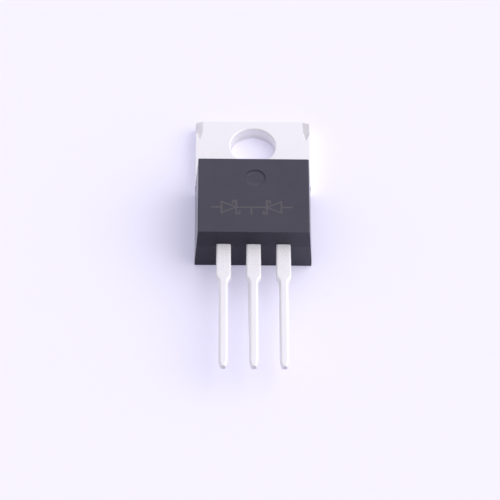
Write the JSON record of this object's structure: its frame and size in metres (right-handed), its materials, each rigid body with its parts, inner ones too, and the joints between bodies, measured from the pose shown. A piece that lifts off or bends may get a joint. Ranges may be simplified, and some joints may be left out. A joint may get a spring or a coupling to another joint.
{
  "type": "schottky diode",
  "caption": "Flat moulded power rectifier with a drilled metal heat-sink tab and a row of straight leads, two diodes with a common cathode.",
  "frame": {"origin": "centre of the mounting hole, on the back face that seats on a heat sink", "axes": "+X across the tab, +Y from the hole to the top edge of the tab so that the leads run along -Y, +Z out of the front face"},
  "size_m": [0.01, 0.0279, 0.0045],
  "materials": {
    "mould_epoxy": "fine matt moulded epoxy",
    "tinned_copper": "matt tin plate",
    "silicon": "polished",
    "die_solder": "dull reflowed",
    "bond_aluminium": "drawn wire"
  },
  "bodies": {
    "root": {"mould_body": "mould_epoxy", "heatsink_tab": "tinned_copper", "left_lead": "tinned_copper", "right_lead": "tinned_copper", "left_die": "silicon", "right_die": "silicon", "left_solder": "die_solder", "right_solder": "die_solder", "left_wire_inner": "bond_aluminium", "left_wire_outer": "bond_aluminium", "right_wire_inner": "bond_aluminium", "right_wire_outer": "bond_aluminium"}
  },
  "joints": []
}
